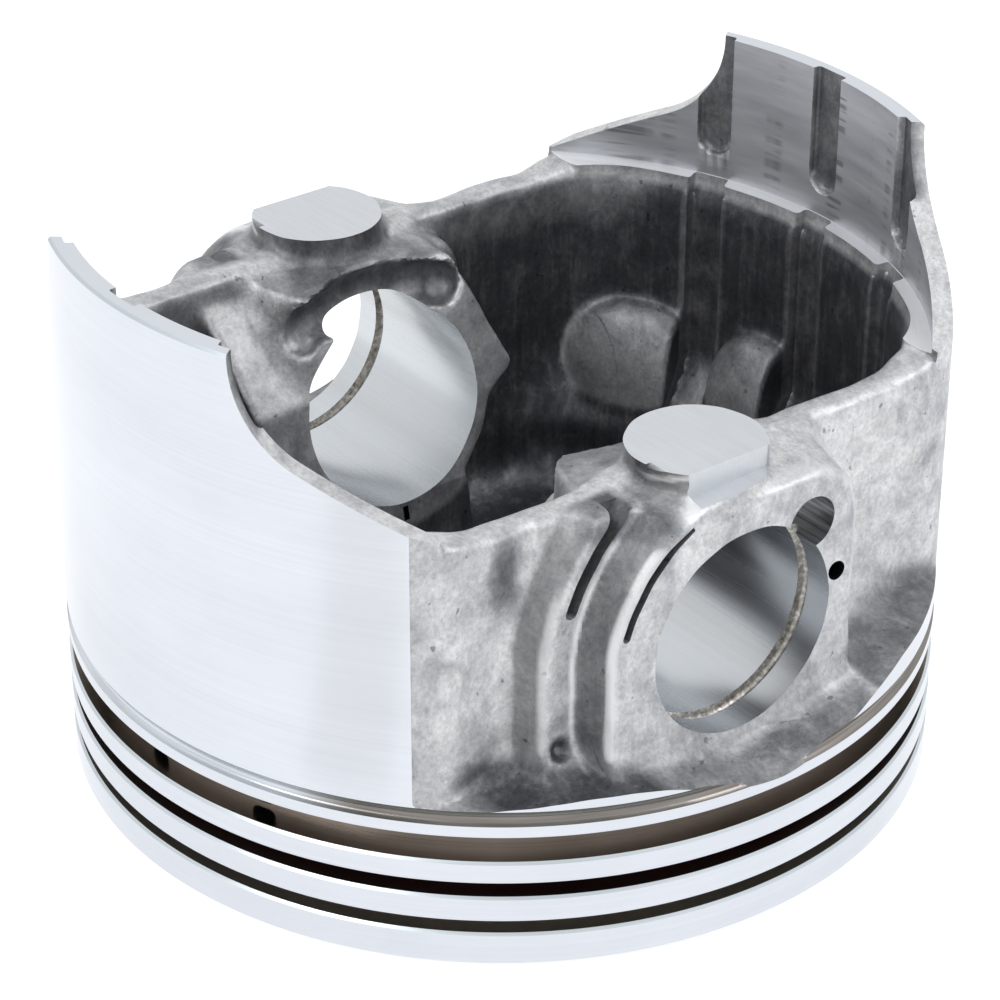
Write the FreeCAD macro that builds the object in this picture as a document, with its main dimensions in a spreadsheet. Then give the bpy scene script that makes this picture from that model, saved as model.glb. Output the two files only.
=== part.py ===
import FreeCAD, Part
import math
import os

# Four-stroke engine piston, bare casting, standing on its crown.
# +Z is the piston axis (crown at z = 0, skirt tails up), X is the pin axis,
# Y is the thrust direction. Origin: centre of the crown's face. Millimetres.
#
# The piston is one casting. Its regions are modelled as separate solids
# that meet face to face, each with a simple shape of its own.

doc = FreeCAD.newDocument("piston")
sheet = doc.addObject("Spreadsheet::Sheet", "Sheet")

SIZES = [
    ("piston_r", 49.15, "outer radius of the lands"),
    ("skirt_r", 49.1, "outer radius of the skirt"),
    ("relief_r", 48.55, "turned relief between oil land and skirt"),
    ("root_r", 44.9, "radius of the compression ring groove floors"),
    ("oil_root_r", 46.0, "radius of the oil ring groove's floor"),
    ("cavity_r", 38.5, "inner radius behind the ring belt"),
    ("skirt_in_r", 44.7, "inner radius of the skirt wall"),
    ("tail_in_r", 46.85, "machined inner radius of the skirt tails"),
    ("edge_chamfer", 0.6, "chamfer on the crown's edge"),
    ("top_land_top", 4.2, "upper face of the top land"),
    ("groove_one_top", 5.8, "upper flank of the first groove"),
    ("second_land_top", 8.8, "upper face of the second land, inner floor"),
    ("groove_two_top", 10.6, "upper flank of the second groove"),
    ("third_land_top", 13.2, "upper face of the third land"),
    ("oil_groove_top", 16.3, "upper flank of the oil groove"),
    ("oil_land_top", 17.8, "upper end of the oil land"),
    ("belt_top", 19.5, "upper face of the ring belt"),
    ("drain_w", 3.0, "width of an oil drain slot"),
    ("drain_h", 2.4, "height of an oil drain slot"),
    ("drain_lift", 0.35, "drain slot above the third land"),
    ("ledge_z", 49.6, "ledge where the tails' bore ends"),
    ("wall_top", 48.4, "rim of the side walls"),
    ("tail_top", 67.6, "free end of the skirt tails"),
    ("tail_chamfer", 0.9, "outer chamfer of the tails' ends"),
    ("skirt_cut_y", 34.0, "distance from X axis to the skirt's ends"),
    ("tail_half_top", 15.9, "half width of a tail at its free end"),
    ("tail_half_low", 32.9, "half width where the tail's cut ends"),
    ("cut_low_z", 51.4, "height where the tail's cut ends"),
    ("cut_arc_r", 12.0, "radius of the cut beside a tail"),
    ("cut_arc_x", 28.7, "X of the cut's arc centre"),
    ("cut_arc_z", 67.2, "Z of the cut's arc centre"),
    ("flute_w", 4.6, "width of the cast flutes"),
    ("flute_depth", 1.45, "depth of the cast flutes"),
    ("skirt_flute_z", 25.5, "rounded lower end of the skirt flutes"),
    ("tail_flute_z", 53.4, "rounded lower end of the tail flutes"),
    ("flute_step", 20.0, "angle between flutes, and between drains, degrees"),
    ("pin_y", -0.9, "pin axis offset from the piston axis"),
    ("pin_z", 32.1, "pin axis height over the crown's face"),
    ("pin_r", 11.775, "pin bore radius"),
    ("circlip_r", 12.75, "circlip groove radius"),
    ("circlip_in", 37.7, "inner flank of the circlip groove"),
    ("circlip_w", 1.55, "width of the circlip groove"),
    ("notch_r", 3.05, "radius of the circlip removal notch"),
    ("notch_y", 8.9, "notch centre beside the pin axis"),
    ("notch_z", 9.7, "notch centre above the pin axis"),
    ("oil_hole_r", 1.1, "radius of the boss oil hole"),
    ("oil_hole_x", 30.0, "inner end of the boss oil hole"),
    ("oil_hole_y", 12.75, "oil hole beside the pin axis"),
    ("oil_hole_z", 2.6, "oil hole above the pin axis"),
    ("boss_half", 15.9, "half width of a pin boss"),
    ("boss_out", 42.3, "outer face of a pin boss"),
    ("boss_in_low", 16.4, "inner face of a boss at the belt's top"),
    ("boss_in_top", 21.6, "inner face of a boss at its top"),
    ("boss_top", 46.6, "top of a pin boss"),
    ("boss_round", 9.0, "rounding of a boss's shoulders"),
    ("arch_x", 20.3, "middle of the flute over the pin bore"),
    ("arch_r", 14.6, "centre radius of the flute over the pin bore"),
    ("arch_tube_r", 3.3, "section radius of the flute over the bore"),
    ("arch_low_z", 39.8, "lower ends of the flute over the bore"),
    ("pad_r", 7.5, "radius of a balance pad"),
    ("pad_x", 34.05, "pad centre from the piston axis"),
    ("pad_flat_x", 39.3, "flat on the pad's outer side"),
    ("pad_top", 50.9, "machined top of the pads"),
    ("wall_in", 30.0, "inner face of a side wall"),
    ("wall_out", 34.4, "outer face of a side wall"),
    ("rib_out", 38.0, "outer face of a side rib"),
    ("rib_in_y", 18.6, "rib flank next to the boss, from the pin axis"),
    ("rib_out_y", 23.2, "rib flank away from the boss"),
    ("rib_top", 44.6, "top of a side rib"),
    ("rib_slope", 3.0, "slope at a side rib's head"),
    ("reach", 60.0, "how far cutting solids reach sideways"),
    ("headroom", 80.0, "how high cutting solids reach"),
    ("over", 1.0, "how far a cutting solid passes a face"),
    ("bevel_over", 4.0, "how far the tails' chamfer cone passes them"),
]
for row, (alias, value, note) in enumerate(SIZES, start=1):
    sheet.set("A%d" % row, alias)
    sheet.set("B%d" % row, str(value))
    sheet.set("C%d" % row, note)
    sheet.setAlias("B%d" % row, alias)
doc.recompute()

S = {alias: float(sheet.get(alias)) for alias, value, note in SIZES}
PARTS = []
NEAR_ZERO = 0.01
ACROSS = FreeCAD.Rotation(FreeCAD.Vector(0, 1, 0), 90)


# ------------------------------------------------------------------- helpers
def mm(formula):
    """Expression in millimetres of aliases joined by + and -, such as a+b."""
    terms = formula.replace("-", " -").replace("+", " +").split()
    bound = []
    for term in terms:
        sign = term[0] if term[0] in "+-" else "+"
        bound.append("%sSheet.%s*1mm" % (sign, term.lstrip("+-")))
    return "(0mm%s)" % "".join(bound)


def bind(obj, **links):
    """Binds properties to expressions; __ in a name stands for a dot."""
    for prop, formula in links.items():
        obj.setExpression(prop.replace("__", "."), formula)
    return obj


def upright(name, radius, low, high, x="0mm", y="0mm"):
    """Cylinder along Z between two bound heights."""
    obj = doc.addObject("Part::Cylinder", name)
    return bind(obj, Radius=radius, Height="%s-%s" % (high, low),
                Placement__Base__x=x, Placement__Base__y=y, Placement__Base__z=low)


def crosswise(name, radius, ends, y, z):
    """Cylinder along X between two bound ends."""
    obj = doc.addObject("Part::Cylinder", name)
    obj.Placement = FreeCAD.Placement(FreeCAD.Vector(), ACROSS)
    return bind(obj, Radius=radius, Height="%s-%s" % (ends[1], ends[0]),
                Placement__Base__x=ends[0], Placement__Base__y=y, Placement__Base__z=z)


def box(name, x_ends, y_ends, z_ends):
    """Box between six bound planes."""
    obj = doc.addObject("Part::Box", name)
    return bind(obj, Length="%s-%s" % (x_ends[1], x_ends[0]),
                Width="%s-%s" % (y_ends[1], y_ends[0]),
                Height="%s-%s" % (z_ends[1], z_ends[0]),
                Placement__Base__x=x_ends[0], Placement__Base__y=y_ends[0],
                Placement__Base__z=z_ends[0])


def joined(kind, name, base, tool):
    obj = doc.addObject(kind, name)
    obj.Base = base
    obj.Tool = tool
    return obj


def cut(name, base, tool):
    return joined("Part::Cut", name, base, tool)


def common(name, base, tool):
    return joined("Part::Common", name, base, tool)


def fuse(name, shapes):
    obj = doc.addObject("Part::MultiFuse", name)
    obj.Shapes = shapes
    return obj


def ring(name, outer, inner, low, high):
    """Upright tube between two radii and two heights, all aliases."""
    body = upright(name + "_outer", outer, mm(low), mm(high))
    hole = upright(name + "_inner", inner, mm(low + "-over"), mm(high + "+over"))
    return cut(name, body, hole)


def sided(side, near, far):
    """The two ends, in order, of a span on the +X or -X (or +Y or -Y) side."""
    if side > 0:
        return near, far
    return "(-%s)" % far, "(-%s)" % near


def edges_at(shape, wanted):
    """Numbers of the shape's edges whose middle passes the test."""
    return [n for n, edge in enumerate(shape.Edges, start=1) if wanted(edge.CenterOfMass)]


def keep(obj, label):
    """Names a finished sub-part and puts it on the list to write."""
    obj.Label = label
    PARTS.append(obj)


WIDE = (mm("-reach"), mm("reach"))
TALL = ("0mm", mm("headroom"))


# --------------------------------------------------------------- crown, belt
def top_land():
    """Thick disc of the crown, chamfered round its lower edge."""
    disc = upright("top_land_disc", mm("piston_r"), "0mm", mm("top_land_top"))
    doc.recompute()
    chamfer = doc.addObject("Part::Chamfer", "top_land_body")
    chamfer.Base = disc
    size = S["edge_chamfer"]
    low_edges = edges_at(disc.Shape, lambda middle: abs(middle.z) < NEAR_ZERO)
    chamfer.Edges = [(n, size, size) for n in low_edges]
    keep(chamfer, "top_land")


def belt_core():
    """Tube behind the ring grooves, with oil drain slots on both sides."""
    low = ring("belt_low", mm("root_r"), mm("cavity_r"), "second_land_top", "third_land_top")
    high = ring("belt_high", mm("oil_root_r"), mm("cavity_r"), "third_land_top", "belt_top")
    slots = []
    for side in (-1, 1):
        for step in (-1, 0, 1):
            angle = 90.0 * side + step * S["flute_step"]
            name = "drain_%d" % len(slots)
            slot = bind(doc.addObject("Part::Box", name), Length=mm("reach"),
                        Width=mm("drain_w"), Height=mm("drain_h"))
            turn = FreeCAD.Rotation(FreeCAD.Vector(0, 0, 1), angle)
            corner = turn.multVec(FreeCAD.Vector(0, -S["drain_w"] / 2, 0))
            corner.z = S["third_land_top"] + S["drain_lift"]
            slot.Placement = FreeCAD.Placement(corner, turn)
            slots.append(slot)
    body = fuse("belt_tube", [low, high])
    keep(cut("belt_core_body", body, fuse("drains", slots)), "belt_core")


def ring_belt():
    top_land()
    keep(upright("groove_floor_disc", mm("root_r"), mm("top_land_top"), mm("groove_one_top")),
         "first_groove_floor")
    keep(upright("second_land_disc", mm("piston_r"), mm("groove_one_top"),
                 mm("second_land_top")), "second_land")
    keep(ring("third_land_ring", mm("piston_r"), mm("root_r"), "groove_two_top",
              "third_land_top"), "third_land")
    land = ring("oil_land_ring", mm("piston_r"), mm("oil_root_r"), "oil_groove_top",
                "oil_land_top")
    relief = ring("relief_ring", mm("relief_r"), mm("oil_root_r"), "oil_land_top", "belt_top")
    keep(fuse("oil_land_body", [land, relief]), "oil_land")
    belt_core()


# -------------------------------------------------------------------- skirts
def flutes(label, side, wall_r, low):
    """Three upright round-ended cutters in a skirt's or tail's inner face."""
    tools = []
    for step in (-1, 0, 1):
        name = "%s_flute_%d" % (label, step + 2)
        angle = math.radians(90.0 * side + step * S["flute_step"])
        radius = wall_r + S["flute_depth"] - S["flute_w"] / 2
        place = FreeCAD.Vector(radius * math.cos(angle), radius * math.sin(angle), low)
        post = bind(doc.addObject("Part::Cylinder", name + "_post"),
                    Radius="Sheet.flute_w*0.5mm", Height=mm("headroom"))
        end = bind(doc.addObject("Part::Sphere", name + "_end"),
                   Radius="Sheet.flute_w*0.5mm")
        for tool in (post, end):
            tool.Placement = FreeCAD.Placement(place, FreeCAD.Rotation())
            tools.append(tool)
    return tools


def side_window(label, side):
    """Block that holds everything beyond the skirt's ends."""
    y_ends = sided(side, mm("skirt_cut_y"), mm("reach"))
    return box(label + "_window", WIDE, y_ends, TALL)


def skirt(label, side):
    """Lower skirt wall with its three flutes."""
    wall = ring(label + "_ring", mm("skirt_r"), mm("skirt_in_r"), "belt_top", "ledge_z")
    shell = common(label + "_shell", wall, side_window(label, side))
    tools = flutes(label, side, S["skirt_in_r"], S["skirt_flute_z"])
    keep(cut(label + "_body", shell, fuse(label + "_flutes", tools)), label)


def tail_cutter(name, side, end):
    """Solid that shapes one long side of a tail: an arc, then a slope."""
    centre = FreeCAD.Vector(S["cut_arc_x"], 0, S["cut_arc_z"])
    radius = S["cut_arc_r"]
    low = FreeCAD.Vector(S["tail_half_low"], 0, S["cut_low_z"])
    # The slope leaves the arc where it is tangent to it.
    away = low - centre
    touch = math.atan2(away.z, away.x) - math.acos(radius / away.Length)

    def on_arc(angle):
        return centre + FreeCAD.Vector(radius * math.cos(angle), 0, radius * math.sin(angle))

    top = S["tail_top"] + S["over"]
    far = S["piston_r"] + S["over"]
    start = on_arc(math.pi)
    tangent = on_arc(touch)
    bend = on_arc((touch - math.pi) / 2)
    crest = FreeCAD.Vector(S["tail_half_top"], 0, top)
    corners = [tangent, low, FreeCAD.Vector(far, 0, low.z), FreeCAD.Vector(far, 0, top),
               crest, start]
    edges = [Part.Arc(start, bend, tangent).toShape()]
    edges += [Part.makeLine(a, b) for a, b in zip(corners, corners[1:])]
    solid = Part.Face(Part.Wire(edges)).extrude(FreeCAD.Vector(0, side * far, 0))
    if end < 0:
        solid = solid.mirror(FreeCAD.Vector(), FreeCAD.Vector(1, 0, 0))
    obj = doc.addObject("Part::Feature", name)
    obj.Shape = solid
    return obj


def bevelled(label, wall):
    """The wall with the chamfer round the outside of its free end."""
    low = mm("tail_top-tail_chamfer-bevel_over")
    cone = bind(doc.addObject("Part::Cone", label + "_cone"),
                Radius1=mm("skirt_r+bevel_over"), Radius2=mm("skirt_r-tail_chamfer"),
                Height=mm("tail_chamfer+bevel_over"), Placement__Base__z=low)
    block = upright(label + "_block", mm("reach"), low, mm("tail_top"))
    return cut(label + "_bevelled", wall, cut(label + "_bevel", block, cone))


def tail(label, side):
    """Long skirt tail above the ledge, cut back on both sides."""
    wall = ring(label + "_ring", mm("skirt_r"), mm("tail_in_r"), "ledge_z", "tail_top")
    shell = common(label + "_shell", bevelled(label, wall), side_window(label, side))
    tools = flutes(label, side, S["tail_in_r"], S["tail_flute_z"])
    for word, end in (("right", 1), ("left", -1)):
        tools.append(tail_cutter("%s_cut_%s" % (label, word), side, end))
    keep(cut(label + "_body", shell, fuse(label + "_tools", tools)), label)


# ------------------------------------------------------- bosses, walls, ribs
def belt_room(label):
    """Cutter that keeps a boss or wall inside the ring belt's cavity."""
    return ring(label + "_belt", mm("reach"), mm("cavity_r"), "second_land_top", "belt_top")


def leaning_face(label, side):
    """Cutter for the boss's inner face, which leans away from the rod."""
    depth = 2 * (S["boss_half"] + S["over"])
    rise = S["boss_top"] - S["belt_top"]
    lean = (S["boss_in_top"] - S["boss_in_low"]) / rise
    height = rise + S["over"]
    wedge = doc.addObject("Part::Wedge", label + "_lean")
    limits = {"Xmin": -S["boss_in_low"], "Xmax": 0.0, "X2min": -S["boss_in_low"],
              "X2max": height * lean, "Ymin": 0.0, "Ymax": height,
              "Zmin": 0.0, "Zmax": depth, "Z2min": 0.0, "Z2max": depth}
    for prop, value in limits.items():
        setattr(wedge, prop, value)
    stand = FreeCAD.Rotation(FreeCAD.Vector(1, 0, 0), 90)
    face_side = FreeCAD.Rotation(FreeCAD.Vector(0, 0, 1), 0 if side > 0 else 180)
    base = FreeCAD.Vector(side * S["boss_in_low"], S["pin_y"] + side * depth / 2,
                          S["belt_top"])
    wedge.Placement = FreeCAD.Placement(base, face_side.multiply(stand))
    return wedge


def arch_flute(label, side):
    """Cutter for the curved oil flute over the pin bore."""
    arch = bind(doc.addObject("Part::Torus", label + "_arch"), Radius1=mm("arch_r"),
                Radius2=mm("arch_tube_r"))
    place = FreeCAD.Vector(side * S["arch_x"], S["pin_y"], S["pin_z"])
    arch.Placement = FreeCAD.Placement(place, ACROSS)
    above = box(label + "_arch_part", WIDE, WIDE, (mm("arch_low_z"), mm("headroom")))
    return common(label + "_flute", arch, above)


def boss(label, side):
    """Pin boss with its bore, circlip groove, notch, oil hole and flute."""
    block = box(label + "_block", sided(side, mm("boss_in_low"), mm("boss_out")),
                (mm("pin_y-boss_half"), mm("pin_y+boss_half")),
                (mm("second_land_top"), mm("boss_top")))
    doc.recompute()
    rounded = doc.addObject("Part::Fillet", label + "_rounded")
    rounded.Base = block
    middle_x = (S["boss_in_low"] + S["boss_out"]) / 2

    def is_shoulder(middle):
        at_top = abs(middle.z - S["boss_top"]) < NEAR_ZERO
        return at_top and abs(abs(middle.x) - middle_x) < NEAR_ZERO

    shoulders = edges_at(block.Shape, is_shoulder)
    rounded.Edges = [(n, S["boss_round"], S["boss_round"]) for n in shoulders]

    # Holes across the boss: (name, radius, inner end, outer end, offsets from the pin axis).
    holes = [("bore", "pin_r", "over", "reach", "", ""),
             ("clip", "circlip_r", "circlip_in", "circlip_in+circlip_w", "", ""),
             ("notch", "notch_r", "circlip_in", "reach", "+notch_y", "+notch_z"),
             ("oil", "oil_hole_r", "oil_hole_x", "reach", "+oil_hole_y", "+oil_hole_z")]
    tools = [crosswise("%s_%s" % (label, name), mm(radius), sided(side, mm(near), mm(far)),
                       mm("pin_y" + beside), mm("pin_z" + above))
             for name, radius, near, far, beside, above in holes]
    tools += [arch_flute(label, side), leaning_face(label, side), belt_room(label)]
    keep(cut(label + "_body", rounded, fuse(label + "_tools", tools)), label)


def pad(label, side):
    """Round balance pad on top of a boss, with one flat."""
    x = mm("pad_x" if side > 0 else "-pad_x")
    disc = upright(label + "_disc", mm("pad_r"), mm("boss_top"), mm("pad_top"), x, mm("pin_y"))
    flat = box(label + "_flat", sided(side, mm("pad_flat_x"), mm("reach")), WIDE, TALL)
    keep(cut(label + "_body", disc, flat), label)


def side_wall(label, side, end):
    """Straight wall from a boss to a skirt's end."""
    if end > 0:
        y_ends = (mm("pin_y+boss_half"), mm("skirt_cut_y"))
    else:
        y_ends = (mm("-skirt_cut_y"), mm("pin_y-boss_half"))
    slab = box(label + "_slab", sided(side, mm("wall_in"), mm("wall_out")), y_ends,
               (mm("second_land_top"), mm("wall_top")))
    keep(cut(label + "_body", slab, belt_room(label)), label)


def rib(label, side):
    """Upright rib on a front side wall, beside the boss, with a sloping head."""
    post = box(label + "_post", sided(side, mm("wall_out"), mm("rib_out")),
               (mm("pin_y-rib_out_y"), mm("pin_y-rib_in_y")), (mm("belt_top"), mm("rib_top")))
    doc.recompute()
    head = doc.addObject("Part::Chamfer", label + "_head")
    head.Base = post

    def is_head(middle):
        at_top = abs(middle.z - S["rib_top"]) < NEAR_ZERO
        return at_top and abs(abs(middle.x) - S["rib_out"]) < NEAR_ZERO

    slope = S["rib_slope"]
    head.Edges = [(n, slope, slope) for n in edges_at(post.Shape, is_head)]
    keep(head, label)


# ------------------------------------------------------------------ assembly
ring_belt()
for side_name, side in (("thrust", -1), ("minor", 1)):
    skirt(side_name + "_skirt", side)
    tail(side_name + "_tail", side)
for side_name, side in (("right", 1), ("left", -1)):
    boss("boss_" + side_name, side)
    pad("pad_" + side_name, side)
    side_wall("wall_%s_front" % side_name, side, -1)
    side_wall("wall_%s_rear" % side_name, side, 1)
    rib("rib_%s_front" % side_name, side)

# -------------------------------------------------------------------- output
doc.recompute()
for obj in doc.Objects:
    if "Invalid" in obj.State or "Error" in obj.State:
        raise RuntimeError("%s is %s" % (obj.Name, obj.State))
for obj in PARTS:
    if obj.Shape.isNull() or not obj.Shape.isValid():
        raise RuntimeError("%s has no valid shape" % obj.Label)
os.makedirs("parts", exist_ok=True)
for obj in PARTS:
    obj.Shape.exportStep("parts/%s.step" % obj.Label)
    print(obj.Label, len(obj.Shape.Solids), round(obj.Shape.Volume, 1))
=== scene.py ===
import math

import bmesh
import bpy
import numpy as np
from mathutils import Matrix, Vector


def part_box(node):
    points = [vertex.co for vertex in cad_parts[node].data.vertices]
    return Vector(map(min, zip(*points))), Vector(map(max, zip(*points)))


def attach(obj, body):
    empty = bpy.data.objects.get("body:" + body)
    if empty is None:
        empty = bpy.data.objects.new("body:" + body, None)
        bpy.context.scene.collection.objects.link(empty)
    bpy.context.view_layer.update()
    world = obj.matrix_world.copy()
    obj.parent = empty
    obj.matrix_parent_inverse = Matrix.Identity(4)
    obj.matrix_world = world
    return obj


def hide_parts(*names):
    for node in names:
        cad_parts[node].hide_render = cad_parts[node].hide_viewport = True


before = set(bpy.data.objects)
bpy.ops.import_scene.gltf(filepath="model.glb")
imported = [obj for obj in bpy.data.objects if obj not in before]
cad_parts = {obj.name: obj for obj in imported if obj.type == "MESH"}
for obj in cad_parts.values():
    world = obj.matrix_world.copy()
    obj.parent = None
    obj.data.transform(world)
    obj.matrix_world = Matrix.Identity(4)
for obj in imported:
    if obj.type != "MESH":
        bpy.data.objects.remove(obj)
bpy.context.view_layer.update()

# A bare four-stroke piston standing on its crown. The casting is a smooth
# distance field turned into a mesh; every machined face is then cut from it
# by an exact tool, which leaves its own material on the cut. The casting is
# last divided into the closed pieces that the frame names.
# All shape functions work in millimetres, in the CAD frame.

MM = 0.001


def span(node, axis):
    """Lowest and highest coordinate of a CAD node along an axis, in mm."""
    low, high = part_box(node)
    return low[axis] / MM, high[axis] / MM


# ------------------------------------------------------------ driving sizes
# Turned outside: lands, groove roots, and the cove under the skirt.
LAND_R = 49.15
SKIRT_R = 49.1
ROOT_R = 44.9
OIL_ROOT_R = 46.0
TOP_LAND_TOP = span("top_land", 2)[1]
SECOND_LAND = span("second_land", 2)
THIRD_LAND = span("third_land", 2)
OIL_LAND_LOW, SKIRT_LOW = span("oil_land", 2)
OIL_LAND_TOP = 17.7
CROWN_CHAMFER = 0.6
EDGE = 0.28
COVE_STEPS = 14
COVE_DEPTH = 0.7

# Inside: the floor, the cavity, and the counterbore behind the tails.
FLOOR_Z = 9.4
BELT_R = 39.0
CAVITY_R = 44.7
LEDGE_Z = span("thrust_skirt", 2)[1]
TAIL_TOP = span("thrust_tail", 2)[1]
TAIL_IN_R = 46.85
BORE_FROM_R = 42.5

# Upright flutes, and the arch-topped hoods as (angle about Z, half width).
FLUTE_W = 4.6
FLUTE_DEPTH = 1.45
FLUTE_STEP = 20.0
FLUTE_FOOT = 52.6
HOODS = ((120.5, 11.2), (97.0, 8.4))
HOOD_DEPTH = 4.9
HOOD_HALF = 13.8
HOOD_Z = 18.6

# Pin, bosses, and the pads on top of them.
PIN_Y = -0.9
PIN_Z = 32.1
PIN_R = 11.775
CLIP_IN = 37.7
CLIP_W = 1.55
CLIP_DEPTH = 0.95
BOSS_IN, BOSS_OUT = span("boss_right", 0)
BOSS_SIDE = 15.5
LEAN = 0.21
PAD_TOP = span("pad_right", 2)[1]
PAD_FLAT_X = span("pad_right", 0)[1]
PAD_X = 34.05
PAD_R = 7.5
PAD_FOOT = 47.9
PAD_FACED_X = (24, 45)

# Side walls and the relief in front of the bosses.
WALL_IN, WALL_OUT = span("wall_right_front", 0)
WALL_TOP = span("wall_right_front", 2)[1]
SKIRT_CUT_Y = -span("thrust_skirt", 1)[1]
RIB_OUT = span("rib_right_front", 0)[1]
ARCH_BOSS = 17.2

# Slits beside a boss: arch radius, half width, degrees from the top, X of the floor.
SLIT = (20.4, 0.75, (17.0, 70.0), 34.9)
SIDE_GROOVE = (16.3, 0.45, (26.0, 73.0), 40.7)

# Small holes, placed by (along Y, up) from the pin axis.
NOTCH_AT, NOTCH_R = (8.9, 9.7), 3.05
OIL_HOLE_AT, OIL_HOLE_R = (12.75, 2.6), 1.1
OIL_SLOT_X, OIL_SLOT_Y, OIL_SLOT_Z = (14, 17.2), (-1.8, -1.0), (18.2, 19.9)
DRAIN_W, DRAIN_ROUND, DRAIN_FROM_R = 3.0, 0.9, 36.0

# Tail sides: (centre, centre height, radius) of the arc, its foot, and the turn of the cut.
CUT_ARC = (28.7, 67.2, 12.0)
CUT_LOW = (32.9, 51.4)
CUT_TURN = 39.0

# Pits at the feet of the rib and of the boss's front edge: (x, y, z, radius).
PITS = ((38.2, -21.6, 23.2, 0.9), (41.9, -17.3, 20.6, 0.7))

# Beyond everything, sideways and upwards; then the mesh's fineness.
FAR = 60.0
HIGH = 80.0
GRID = 0.45
TURN_STEPS = 720


# ------------------------------------------------------- distance functions
def smin(a, b, k):
    """Union with a fillet of about k."""
    blend = np.maximum(k - np.abs(a - b), 0.0) / k
    return np.minimum(a, b) - blend * blend * k * 0.25


def smax(a, b, k):
    """Intersection with a fillet of about k."""
    return -smin(-a, -b, k)


def ease(low, high, value):
    """Smooth step from nought at low to one at high; low may be the larger."""
    t = np.clip((value - low) / (high - low), 0.0, 1.0)
    return t * t * (3.0 - 2.0 * t)


def band(value, low, high, soft):
    """One between low and high, falling to nothing over soft."""
    return ease(low - soft, low, value) * (1 - ease(high, high + soft, value))


def ellipsoid(x, y, z, radii):
    """Rough distance to an ellipsoid with slightly squared sides."""
    power = 2.5
    total = sum(np.abs(v / radius) ** power for v, radius in zip((x, y, z), radii))
    return (total ** (1 / power) - 1.0) * min(radii)


def hoods(x, y, z):
    """Distances to the arch-topped hoods inside the minor skirt."""
    for angle, wide in HOODS:
        turn = math.radians(angle)
        radial = x * math.cos(turn) + y * math.sin(turn) - CAVITY_R
        along = -x * math.sin(turn) + y * math.cos(turn)
        yield ellipsoid(radial, along, z - HOOD_Z, (HOOD_DEPTH, wide, HOOD_HALF))


def arch(dy, dz):
    """Distance of a point from the pin axis, straight down below it."""
    return np.hypot(dy, np.maximum(dz, 0.0))


# Outer side beside the front of a boss: arch radius against X.
FRONT_AT = (0, 16.8, 17.2, 17.6, 18.6, 19.2, 22.3, 23.1, 24.4, 26.0, FAR)
FRONT_X = (BOSS_OUT, BOSS_OUT, 42.0, 41.2, 38.1, RIB_OUT, RIB_OUT, 37.2, 35.0, WALL_OUT,
           WALL_OUT)
# Outer side at the back of a boss: distance past its edge against X.
BACK_AT = (-FAR, -0.5, 0.1, 1.1, 2.2, FAR)
BACK_X = (BOSS_OUT, BOSS_OUT, 41.7, 35.4, WALL_OUT, WALL_OUT)


def back_edge(dy, dz):
    """Distance past the boss's back edge, with its rounded shoulder."""
    return smax(dy - BOSS_SIDE, dz - 15.4, 7.0)


def outer_relief(dy, dz):
    """X of the casting's outer side at a point beside the pin axis."""
    q = arch(dy, dz)
    front = np.interp(q, FRONT_AT, FRONT_X)
    back = np.interp(back_edge(dy, dz), BACK_AT, BACK_X)
    return front + (back - front) * ease(-2.0, 3.0, dy)


def shelf_height(y, r):
    """Top of the flange under the bosses, lowest below the pin."""
    beside = y + 1.2
    front = 3.2 * ease(0, 17, -beside) - 1.3 * ease(19, 33, -beside)
    back = 4.7 * ease(0, 24, beside)
    slope = 0.26 - 0.12 * ease(5, 22, np.abs(beside))
    return 17.35 + np.where(beside < 0, front, back) + slope * (SKIRT_R - r)


def boss_face(dy, z):
    """X of a boss's inner face: it leans out, most towards its front shoulder."""
    shoulder = 0.9 * np.maximum(z - 35.5, 0.0) * ease(-9, -14, dy)
    return BOSS_IN + LEAN * (z - SKIRT_LOW) + shoulder


def inner_radius(z):
    """Radius of the cavity: thick behind the rings, flared under the ledge."""
    belt = BELT_R + (CAVITY_R - BELT_R) * ease(16, 27, z)
    return belt + 0.6 * ease(LEDGE_Z - 4, LEDGE_Z, z)


def flute_along(x, ay):
    """Distance across the nearest upright flute's centre line."""
    near = FAR
    for step in (-1, 0, 1):
        turn = math.radians(90.0 + step * FLUTE_STEP)
        near = np.minimum(near, np.abs(-x * math.sin(turn) + ay * math.cos(turn)))
    return near


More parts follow.
